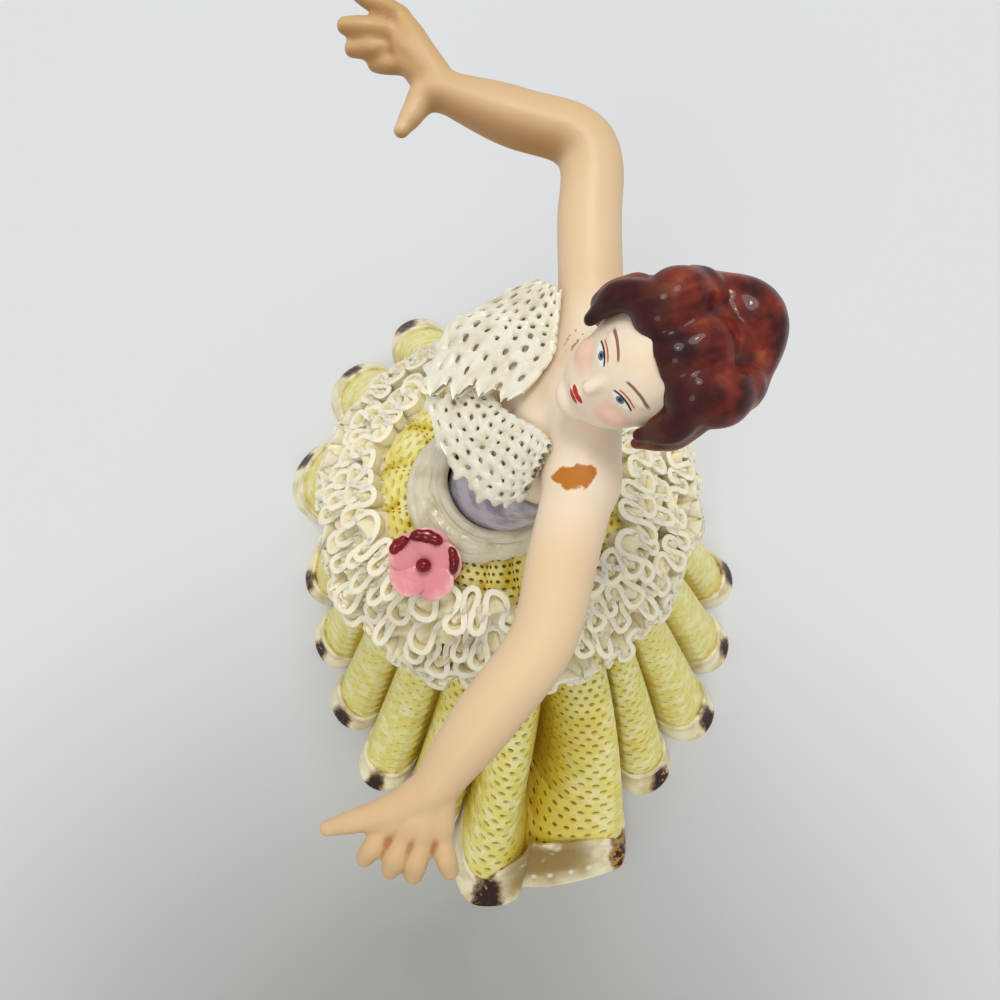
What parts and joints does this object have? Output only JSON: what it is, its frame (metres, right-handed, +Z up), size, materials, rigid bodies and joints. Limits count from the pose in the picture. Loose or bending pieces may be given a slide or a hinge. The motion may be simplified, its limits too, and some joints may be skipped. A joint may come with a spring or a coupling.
{
  "type": "dresden lace figurine",
  "caption": "Small glazed porcelain dancer leaning back with both arms out, in a fluted bell skirt of fired lace with hip frills, a lace collar, a sash and a flower.",
  "frame": {"origin": "on the ground under the middle of the whole figurine, at the height of the hem's underside", "axes": "+Z up, the dancer faces -X, the left arm reaches towards -Y and the right arm towards +Y"},
  "size_m": [0.0734, 0.1008, 0.1018],
  "materials": {
    "skin": "gloss glaze over warm flesh-toned porcelain",
    "hair": "gloss maroon-brown glaze, streaked",
    "bodice": "gloss lavender-grey glaze",
    "yellow_lace": "fired net lace, pale yellow, ochre in the folds, satin glaze",
    "cream_lace": "fired lace, cream, satin glaze",
    "white_lace": "fired lace, white, gloss glaze",
    "pink_petal": "gloss pink glaze with dark red tips"
  },
  "bodies": {
    "root": {"figure": "skin", "lace_skirt": "yellow_lace", "upper_ruffle": "cream_lace", "lower_ruffle": "cream_lace", "collar_right": "white_lace", "collar_left": "white_lace", "sash": "cream_lace", "flower": "pink_petal"}
  },
  "joints": []
}
